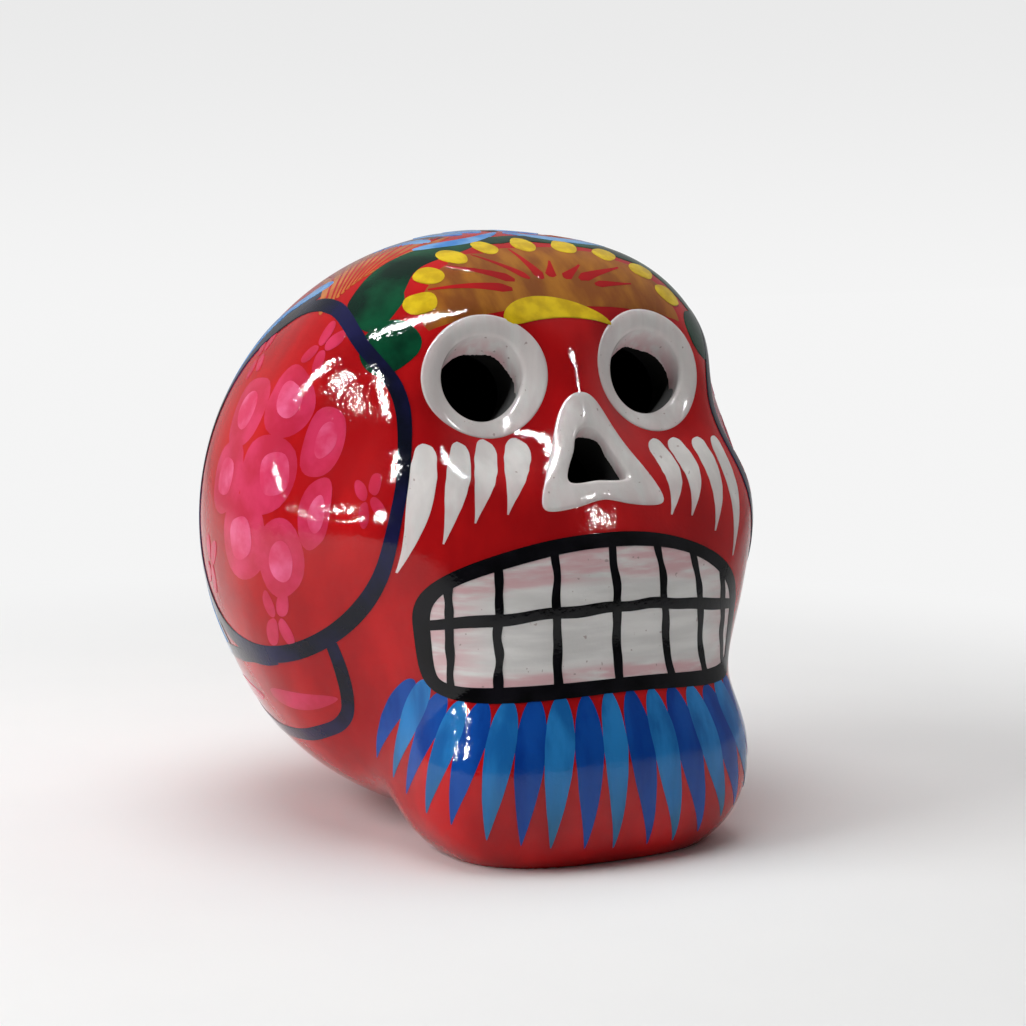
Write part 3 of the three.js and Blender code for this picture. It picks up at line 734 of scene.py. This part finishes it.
def cheek_strokes():
    """Each side has its way out, first place, pitch, lean, bow, top, width and loss of width."""
    for word, (side, first, pitch, lean, bow, top, broad, thinner) in CHEEKS.items():
        for i in range(STROKES):
            dice = np.random.default_rng(100 + 10 * side + i)
            long = STROKE_LENGTH + 0.3 * i + 0.75 * i * i + dice.uniform(-0.4, 0.4)
            start = first + i * pitch + dice.uniform(-0.2, 0.2)
            line = lambda t: (side * (start + lean * t + bow * np.sin(math.pi * t)), top - long * t)
            wide, ragged = broad - thinner * i, shaky(120 + 7 * side + i, 0.035, 7)
            fade = lambda t: 0.08 + 0.4 * soft_step(t, 0.35, 1)
            width = lambda t: wide * comma(t) * (1 + ragged(t))
            coat = Coat().stroke(before, line, width, across=7, along=40, thin=fade)
            node = word + "_cheek_stroke_" + str(i + 1)
            painted("painted_" + node, coat, FINISHES["white"], (node,))


cheek_strokes()


# Beard strokes: leaves that hang below the mouth, dark and light in turn
def leaf(t):
    """Round at the root, fullest a third of the way down, then drawn out to a point."""
    rise, fall = 1 - np.clip(t / 0.3, 0, 1), np.clip((t - 0.3) / 0.7, 0, 1)
    return np.sqrt(1 - rise**2) * (1 - fall**1.6) + 0.015


def dab(t):
    return np.sin(math.pi * np.clip(t, 0, 1) ** 0.7) ** 0.6 + 0.02


def splay(k):
    """How many degrees a stroke's tip lies beyond its root; on the left the strokes bunch up."""
    return 1.15 * k + 0.012 * k**3 if k < 0 else 1.6 + 9 * (1 - math.exp(-k / 2.2))


def beard():
    for i in range(BEARD_STROKES):
        dice = np.random.default_rng(200 + i)
        k = i - BEARD_STROKES // 2 - 1
        root = BEARD_MIDDLE + BEARD_PITCH * k - BEARD_CROWDING * k**3
        tip = root + splay(k) + dice.uniform(-0.8, 0.8)
        away = (tip - BEARD_LOWEST) / (BEARD_SWEEP[0] if tip < BEARD_LOWEST else BEARD_SWEEP[1])
        low = BEARD_TIP_Z + BEARD_TIP_RISE * away**2 + dice.uniform(-0.5, 0.5)
        share = np.radians(root - MOUTH_MIDDLE) * MOUTH_REACH
        share = np.clip(share / span(share), -0.97, 0.97)
        high = float(lower_lip(share)) + dice.uniform(0.1, 0.7)
        s, t = np.meshgrid(edged(8) - 0.5, edged(36, 0.012), indexing="ij")
        turn = root + (tip - root) * (t if k < 0 else t * t)
        broad = BEARD_PITCH * (1.1 if i % 2 else 1.12) * dice.uniform(0.9, 1.06)
        ragged = 1 + shaky(230 + i, 0.02, 5)(t)
        grid = wrapped(turn + s * broad * leaf(t) * ragged, high + (low - high) * t)
        coat = Coat().film(grid, 0.1 if i % 2 else 0.07, thin=0.8 * soft_step(t, 0.4, 1))
        node = "beard_stroke_" + str(i + 1)
        word = "light_blue" if i % 2 else "dark_blue"
        painted("painted_" + node, coat, FINISHES[word], (node,))


beard()


# Forehead: ochre petals that fan out from a yellow crescent, each ending in a yellow dot
BROW = facing(0, BROW_Z, FAN_TILT)


def fan_place(turn, share):
    """A place on the fan, by degrees round it and its share of the way out."""
    turn = np.radians(turn)
    return FAN_WIDTH * share * np.cos(turn), FAN_HEIGHT * share * np.sin(turn) + FAN_LIFT


def dot_turn(i):
    """Where each dot sits round the fan, a little unevenly as by hand."""
    return DOT_START - i * DOT_SWEEP / (FAN_DOTS - 1) - 2.5 * max(-0.4, math.sin(0.6 * i))


def forehead():
    s, t = np.meshgrid(edged(12), edged(150, 0.006), indexing="ij")
    scallop = 0.045 * np.abs(np.cos(math.pi * (t * (FAN_DOTS + 0.2) - 0.1)))
    wave = shaky(320, 0.03, 8)(t)
    u, v = fan_place(FAN_START - FAN_SWEEP * t, FAN_ROOT + (1 + scallop + wave) * s)
    petals = Coat().film(BROW.at(u, v), 0.06, thin=0.5 * soft_step(s, 0.75, 1))
    painted("painted_forehead_fan", petals, FINISHES["ochre"], ("forehead_fan",))
    wedges = Coat()
    for i in range(FAN_DOTS):
        dice = np.random.default_rng(300 + i)
        turn = dot_turn(i)
        x, y = fan_place(turn, 1)
        far = 0.2 + DOT_RADIUS
        x, y = x + far * math.cos(math.radians(turn)), y + far * math.sin(math.radians(turn))
        lean = math.atan2(y - FAN_LIFT, x)
        size = DOT_RADIUS * dice.uniform(0.95, 1.08)
        dot = Coat().round(BROW.at, x, y, 1.12 * size, 0.95 * size, lean, 0.12, 310 + i)
        node = "fan_dot_" + str(i + 1)
        painted("painted_" + node, dot, FINISHES["yellow"], (node,))
        if i == FAN_DOTS - 1:
            break
        gap = (turn + dot_turn(i + 1)) / 2 + dice.uniform(-2, 2)
        bend = -16 * math.cos(math.radians(gap)) + dice.uniform(-2, 2)
        start, stop = dice.uniform(0.4, 0.5), (1.09 if i < 4 else dice.uniform(0.75, 0.95))
        line = lambda t: fan_place(
            gap - bend * np.maximum(0, 1 - t) ** 1.6, start + (stop - start) * t
        )
        broad = dice.uniform(1.6, 2.4)
        wedge = lambda t: broad * np.minimum(1, 0.25 + 5 * t) * (0.16 + 0.84 * (1 - t) ** 1.3)
        wedges.stroke(BROW.at, line, wedge, 0.09, along=30)
    painted("fan_red_wedges", wedges, FINISHES["red"])
    bow = lambda t: (
        CRESCENT_HALF * (2 * t - 1) - 0.9,
        CRESCENT_BOW * np.sin(math.pi * np.clip(t, 0, 1) ** 0.9) - 0.2 - 1.2 * t**3,
    )
    swell = lambda t: CRESCENT_WIDTH * np.clip(np.sin(math.pi * np.clip(t, 0, 1) ** 0.62) ** 0.75, 0.1, 1)
    crescent = Coat().stroke(BROW.at, bow, swell, 0.13, along=44)
    painted("painted_brow_crescent", crescent, FINISHES["yellow"], ("brow_crescent",))


forehead()


# Temples: a navy oval round a pink flower, with buds and a lower panel
OVAL = round_line((
    (5.5, 30.2), (15, 25.2), (22.3, 20.3), (26, 12.6), (27.8, 2.3), (24.8, -9.2), (16.4, -17.5),
    (5, -21), (-8.7, -19.5), (-17.6, -13), (-22, -2), (-21.5, 11), (-16, 22), (-6, 29),
))


def oval_line(grow=0.0):
    """The oval, widened evenly about its middle."""

    def line(t):
        share = 1 + grow / OVAL_REACH
        return tuple(middle + (x - middle) * share for middle, x in zip(OVAL_MIDDLE, OVAL(t)))

    return line


FLOWER, PETAL_SIZE = (4.2, 3.8), 5.3
PETALS = ((-9.1, 8.2), (0.3, 11), (7.9, 6.3), (9.9, -4.5), (4.3, -11.2), (-3.5, -8.7), (-9.6, -1.4))
BUDS = ((7.3, 23.6, -0.4), (23.1, 2, 0.4), (6.6, -16, -0.1), (-11.1, -10.5, -0.3), (-11.5, 20.5, 0.5))
BUD_TOUCHES = ((-1.2, 2, 0.35), (1.3, 2.3, -0.3), (-1.3, -1.9, -0.3), (1.2, -1.7, 0.3))
PANEL = (
    (14.4, -19.5), (14.6, -23), (14, -27), (12.4, -30.4), (9.2, -32.3),
    (2, -33.7), (-8, -34.6), (-17, -33.6), (-22.6, -30), (-24.8, -24.2),
)
PANEL_TOP = ((4, -21.6), (-6, -22.5), (-12, -23), (-19, -23.6), (-25, -24.5))
PANEL_BARS = (((-1.8, -27.3), (11.8, -28)), ((-17, -28.4), (-6.5, -28.8)))


def flower(word, chart, u, v, seed, size=1.0):
    """Round petals about a middle, each with a paler touch on it."""
    outer, inner = Coat(), Coat()
    for i, (x, y) in enumerate(PETALS):
        dice = np.random.default_rng(seed + i)
        tall = PETAL_SIZE * size * dice.uniform(1.02, 1.16)
        wide = tall * (0.92 - 0.035 * max(0, x + 2))
        lean = dice.uniform(-0.3, 0.3)
        outer.round(chart, u + size * x, v + size * y, wide, tall, lean, 0.05 + 0.006 * i, seed + 20 + i)
        at = (u + 1.04 * size * x, v + 1.04 * size * y)
        inner.round(chart, *at, 0.5 * wide, 0.52 * tall, lean, 0.13, seed + 40 + i, 0.35)
    outer.round(chart, u, v, 5.6 * size, 5.8 * size, 0, 0.1, seed + 60)
    inner.round(chart, u + 2 * size, v + 0.4 * size, 2.6 * size, 3.4 * size, 0.4, 0.13, seed + 61, 0.8)
    painted(word + "_flower", outer, FINISHES["pink"])
    painted(word + "_flower_lights", inner, FINISHES["pale_pink"])


def bud(coat, chart, u, v, lean, seed, size=1.0):
    """Four short touches in two pairs."""
    for i, (x, y, tilt) in enumerate(BUD_TOUCHES):
        dice = np.random.default_rng(seed + i)
        c, s = math.cos(lean), math.sin(lean)
        at = (u + size * (x * c - y * s), v + size * (x * s + y * c))
        wide, tall = size * dice.uniform(0.85, 1.1), size * dice.uniform(1.7, 2.2)
        coat.round(chart, *at, wide, tall, lean + tilt, FILM, seed + 10 + i)


def temple(word, seed):
    chart = SIDES[word]
    thick, shake = shaky(seed, 0.3, 6), shaky(seed + 1, 0.25)
    line = Coat()
    loop = lambda t: oval_line(shake(t))(t)
    line.stroke(chart, loop, lambda t: OVAL_LINE + thick(t), 0.16, along=220, closed=True)
    painted(word + "_oval_line", line, FINISHES["navy"], (word + "_temple_oval",))
    flower(word, chart, *FLOWER, seed + 10)
    buds = Coat()
    for i, (u, v, lean) in enumerate(BUDS):
        bud(buds, chart, u, v, lean, seed + 100 + 20 * i)
    for (a, b), (c, d) in PANEL_BARS:
        bar = lambda t: (a + (c - a) * t, b + (d - b) * t - 0.5 * np.sin(math.pi * t))
        buds.stroke(chart, bar, lambda t: 2.9 * dab(t), along=24)
    painted(word + "_buds", buds, FINISHES["pink"])
    panel = Coat()
    panel.stroke(chart, along_line(PANEL), lambda t: 2 + shaky(seed + 2, 0.3)(t), 0.12, along=120)
    panel.stroke(chart, along_line(PANEL_TOP), lambda t: 1.9 + shaky(seed + 3, 0.3)(t), 0.14, along=60)
    painted(word + "_lower_panel", panel, FINISHES["navy"])


temple("right", 400)
temple("left", 500)


# Crown: a green band round the fan that ends in a round head, with plumes swept back from it
BAND_START, BAND_SWEEP, BAND_NEAR, BAND_FAR, BAND_HEAD = 16.5, 147, 29.4, 33, (26, -18.6, 72.6)
PLUMES, PLUME_ROOTS, PLUME_TIPS = 11, ((-23.5, 20.5), (-33.5, 19.5)), ((-9.5, 27.5), (-25.5, 39.5))
SIDE_FEATHERS, TOP_FEATHERS, TOP_ROOT, TOP_TIP = 5, 9, 37.5, 53


def ring(turn, far):
    """The dome's flat layout by degrees round the forehead and degrees away from it."""
    far = np.radians(far) * CROWN_RADIUS
    return far * np.cos(np.radians(turn)), far * np.sin(np.radians(turn))


def plume(coat, root, tip, bend, wide, height):
    """One feather from its root to its tip, bowed sideways."""
    (a, b), (c, d) = root, tip
    line = lambda t: (
        a + (c - a) * t - (d - b) * bend * np.sin(math.pi * t),
        b + (d - b) * t + (c - a) * bend * np.sin(math.pi * t),
    )
    coat.stroke(CROWN, line, lambda t: wide * dab(t), height, along=26, across=5)


def between(a, b, share):
    return tuple(x + (y - x) * share for x, y in zip(a, b))


def crown():
    green, orange, gaps, sky, navy = Coat(), Coat(), Coat(), Coat(), Coat()
    s, t = np.meshgrid(edged(10), edged(120, 0.008), indexing="ij")
    turn = BAND_START + BAND_SWEEP * t
    lean = np.minimum(1, np.abs(turn - 90) / 61)
    wave = shaky(600, 0.7, 9)(t)
    inner = BAND_NEAR + 5.5 * lean**3 + wave
    outer = BAND_FAR + 13 * lean**2.2 + 0.6 * wave
    rounded = np.sqrt(np.clip(np.minimum(t, 1 - t) / 0.06, 0.02, 1))
    far = (inner + outer) / 2 + (s - 0.5) * (outer - inner) * rounded
    green.film(CROWN(*ring(turn, far)), 0.1)
    for side in (-1, 1):
        head = tangent((side * BAND_HEAD[0], *BAND_HEAD[1:]))
        green.round(head.at, 0, 0, 4.7, 3.9, -0.5 * side, 0.12, 610 + side)
        flip = lambda place: (-side * place[0], place[1])
        for i in range(PLUMES):
            dice = np.random.default_rng(700 + 20 * side + i)
            share = i / (PLUMES - 1) + dice.uniform(-0.02, 0.02)
            root = between(*PLUME_ROOTS, share)
            tip = between(*PLUME_TIPS, share + dice.uniform(-0.03, 0.03))
            plume(orange, flip(root), flip(tip), side * 0.06, 1.4 + 0.4 * share, 0.08)
            if i:
                low, high = between(root, last_root, 0.5), between(tip, last_tip, 0.5)
                plume(gaps, flip(low), flip(high), side * 0.06, 0.5, 0.095)
            last_root, last_tip = root, tip
        plume(sky, flip((-17, 22.5)), flip((-0.5, 27.2)), side * 0.1, 2.4, 0.13)
        chart = SIDES["left" if side > 0 else "right"]
        for i in range(SIDE_FEATHERS):
            for coat, grow, wide, height in ((navy, 2.8, 4.8, 0.05), (sky, 4.3, 2.8, 0.13)):
                line = lambda t: oval_line(grow + 0.6 * t)(0.955 - (i + 1.25 * t) / 14)
                coat.stroke(chart, line, lambda t: wide * dab(t), height + 0.003 * i, along=24)
    for i in range(TOP_FEATHERS):
        dice = np.random.default_rng(800 + i)
        turn = 62 + 7 * i
        coat, wide = (navy, 3.0) if i % 3 == 1 else (sky, 3.6)
        root = ring(turn, TOP_ROOT)
        tip = ring(turn + dice.uniform(-2, 2), TOP_TIP + dice.uniform(-1.5, 1.5))
        plume(coat, root, tip, 0.03 * (4 - i) / 4, wide, 0.05 if i % 3 == 1 else 0.11)
    painted("crown_green_band", green, FINISHES["green"])
    painted("crown_orange_feathers", orange, FINISHES["orange"])
    painted("crown_feather_gaps", gaps, FINISHES["red"])
    painted("crown_sky_feathers", sky, FINISHES["sky"])
    painted("crown_navy_feathers", navy, FINISHES["navy"])


crown()


# Back of the head: an oval with a flower, and a leafy sprig on each side of it
BACK_OVAL, BACK_LINE, BACK_SIZE = (17.5, 21), 2.2, 0.8
SPRIG, SPRIG_PAIRS, SPRIG_LEAF = ((24, -20), (25.5, -4), (24.5, 12), (19, 26)), 8, 5.2


def back_of_head():
    line = Coat()
    loop = lambda t: (BACK_OVAL[0] * np.cos(2 * math.pi * t), BACK_OVAL[1] * np.sin(2 * math.pi * t))
    line.stroke(BACK, loop, lambda t: BACK_LINE + shaky(900, 0.35, 6)(t), 0.12, along=180, closed=True)
    painted("back_oval_line", line, FINISHES["navy"])
    flower("back", BACK, 0, 0.5, 910, BACK_SIZE)
    buds = Coat()
    bud(buds, BACK, 0, 15.5, 0.2, 960, BACK_SIZE)
    bud(buds, BACK, 0, -14.5, -0.2, 980, BACK_SIZE)
    painted("back_buds", buds, FINISHES["pink"])
    leaves, tips = Coat(), Coat()
    for side in (-1, 1):
        stem = along_line([(side * x, y) for x, y in SPRIG])
        leaves.stroke(BACK, stem, lambda t: 0.9 + 0 * t, 0.07, across=4, along=60)
        for i in range(SPRIG_PAIRS):
            u, v = (float(x) for x in stem(np.array(0.08 + 0.115 * i)))
            for way in (-1, 1):
                turn = 0.5 * math.pi + way * 0.75 + side * 0.25 * (i - 3) / 4
                blade = lambda t: (
                    u + SPRIG_LEAF * t * math.cos(turn),
                    v + SPRIG_LEAF * t * math.sin(turn),
                )
                leaves.stroke(BACK, blade, lambda t: 2 * leaf(t), 0.06, across=4, along=12)
        tips.round(BACK, side * 18, 28, 1.7, 1.9, 0, 0.1, 990 + side)
    painted("back_sprigs", leaves, FINISHES["green"])
    painted("back_yellow_dots", tips, FINISHES["yellow"])


back_of_head()


# Camera at the photograph's angle
TARGET, TURN, RAISE, ROLL, DISTANCE = (2.55, -5.2, 45.41), 30.86, 8.25, 0.79, 450
LENS, SENSOR = 104.18, 36


def looking(turn, raise_, roll=0.0):
    """Right, up and back directions of a view, turned from the front toward -X."""
    a, e, q = (math.radians(x) for x in (turn, raise_, roll))
    back = np.array((-math.sin(a) * math.cos(e), -math.cos(a) * math.cos(e), math.sin(e)))
    right = unit(np.cross(-back, (0, 0, 1)))
    up = np.cross(right, -back)
    return right * math.cos(q) + up * math.sin(q), up * math.cos(q) - right * math.sin(q), back


def stand(data, name, place, axes):
    made = bpy.data.objects.new(name, data)
    bpy.context.scene.collection.objects.link(made)
    columns = np.column_stack([*axes, np.asarray(place) * MM])
    made.matrix_world = Matrix(np.vstack((columns, (0, 0, 0, 1))).tolist())
    return made


view = looking(TURN, RAISE, ROLL)
lens = bpy.data.cameras.new("photo_camera")
lens.lens, lens.sensor_width = LENS, SENSOR
camera = stand(lens, "photo_camera", np.array(TARGET) + DISTANCE * view[2], view)
bpy.context.scene.camera = camera

# Narrow lamp bars that show only in the varnish, and broad soft light from above and both sides
LAMP_DISTANCE, LAMP_WIDTH, LAMP_GLOW, SOFT_DISTANCE = 450, 8, 500, 600
BARS = {
    "left_edge": ((-100, 21), (-98, 17)),
    "left_low": ((-90, 8), (-89, 11)),
    "left_front": ((-77, 9), (-75, 19)),
    "top_left": ((-84, 44), (-55, 58)),
    "top_middle": ((-55, 58), (-7, 66)),
    "top_right": ((-7, 66), (17, 60)),
    "right": ((33, 34), (34, 31)),
}
MIDDLE = np.array((0, -5, 45.0))


def direction(turn, raise_):
    """A way out from the object, turned from its front toward +X and raised."""
    a, e = math.radians(turn), math.radians(raise_)
    return np.array((math.sin(a) * math.cos(e), -math.cos(a) * math.cos(e), math.sin(e)))


def lamp(name, place, along, long, wide, watts):
    data = bpy.data.lights.new(name, "AREA")
    data.shape, data.size, data.size_y, data.energy = "RECTANGLE", long * MM, wide * MM, watts
    back = unit(place - MIDDLE)
    along = unit(along - (along @ back) * back)
    made = stand(data, name, place, (along, np.cross(back, along), back))
    made.visible_camera = False
    return made


for word, ends in BARS.items():
    a, b = (MIDDLE + LAMP_DISTANCE * direction(*end) for end in ends)
    long = np.linalg.norm(b - a)
    watts = LAMP_GLOW * math.pi * long * LAMP_WIDTH * MM * MM
    lamp(word + "_bar", (a + b) / 2, b - a, long, LAMP_WIDTH, watts).visible_diffuse = False
across = np.array((1.0, 0, 0))
SOFT_LIGHTS = (
    ("left_panel", -100, 30, 400, 2.3),
    ("top_panel", -140, 84, 500, 2.35),
    ("right_panel", 105, 42, 400, 0.35),
)
for word, turn, raise_, size, watts in SOFT_LIGHTS:
    place = MIDDLE + SOFT_DISTANCE * direction(turn, raise_)
    lamp(word, place, across, size, size, watts).visible_glossy = False

# The tent: pale all round, dim only at its open front
PALE, SHADED, FILL, SHEEN, DIM = 0.91, 0.09, 0.24, 0.32, 0.03
world = bpy.data.worlds.new("white_tent")
bpy.context.scene.world = world
world.use_nodes = True
world.node_tree.nodes.clear()
way = Value(world.node_tree, world.node_tree.nodes.new("ShaderNodeTexCoord").outputs["Generated"])
opening = {0: way, 1: tuple(direction(-TURN, 0))}
front = way.node("ShaderNodeVectorMath", {"operation": "DOT_PRODUCT"}, opening, 1)
path = way.tree.nodes.new("ShaderNodeLightPath")
seen, mirrored, through = (
    Value(way.tree, path.outputs[f"Is {word} Ray"]) for word in ("Camera", "Glossy", "Transmission")
)
glossy = mirrored + through
open_front = front.step(-0.2, 0.55)
height = way.node("ShaderNodeSeparateXYZ", {}, {0: way}, 2)
above = height.step(-0.2, 0.95)
light = FILL * (0.25 + 1.1 * above) * (1 - 0.8 * open_front)
mirror = SHEEN * (1 - open_front) + DIM * open_front
backdrop = PALE - SHADED * height.step(-0.085, 0.04)
strength = seen * backdrop + (1 - seen) * (glossy * mirror + (1 - glossy) * light)
sky = way.node("ShaderNodeBackground", {}, {"Color": (1, 1, 1, 1), "Strength": strength})
way.close(sky, world, "ShaderNodeOutputWorld")

# A pale floor that runs out into the tent
FLOOR_HALF, FLOOR_PLAIN, FLOOR_GONE = 900, 105, 220
sheet = bpy.data.meshes.new("pale_floor")
corners = [(x * FLOOR_HALF * MM, y * FLOOR_HALF * MM, 0) for x, y in ((-1, -1), (1, -1), (1, 1), (-1, 1))]
sheet.from_pydata(corners, [], [(0, 1, 2, 3)])
floor = bpy.data.objects.new("pale_floor", sheet)
bpy.context.scene.collection.objects.link(floor)
paper, spot_on_floor = open_finish("pale_paper")
far = spot_on_floor.node("ShaderNodeVectorMath", {"operation": "LENGTH"}, {0: spot_on_floor}, 1)
ray = Value(paper.node_tree, paper.node_tree.nodes.new("ShaderNodeLightPath").outputs["Is Camera Ray"])
fade = far.step(FLOOR_PLAIN * MM, FLOOR_GONE * MM) * ray
tint = spot_on_floor.noise(40).colours(shade(PAPER), shade(WARM_PAPER))
lit = spot_on_floor.node("ShaderNodeBsdfDiffuse", {}, {"Color": tint})
glow = spot_on_floor.node("ShaderNodeEmission", {}, {"Color": (PALE, PALE, PALE, 1)})
both = spot_on_floor.node("ShaderNodeMixShader", {}, {0: fade, 1: lit, 2: glow})
sheet.materials.append(spot_on_floor.close(both, paper))

bpy.context.scene.view_settings.view_transform = "Standard"
bpy.context.view_layer.update()
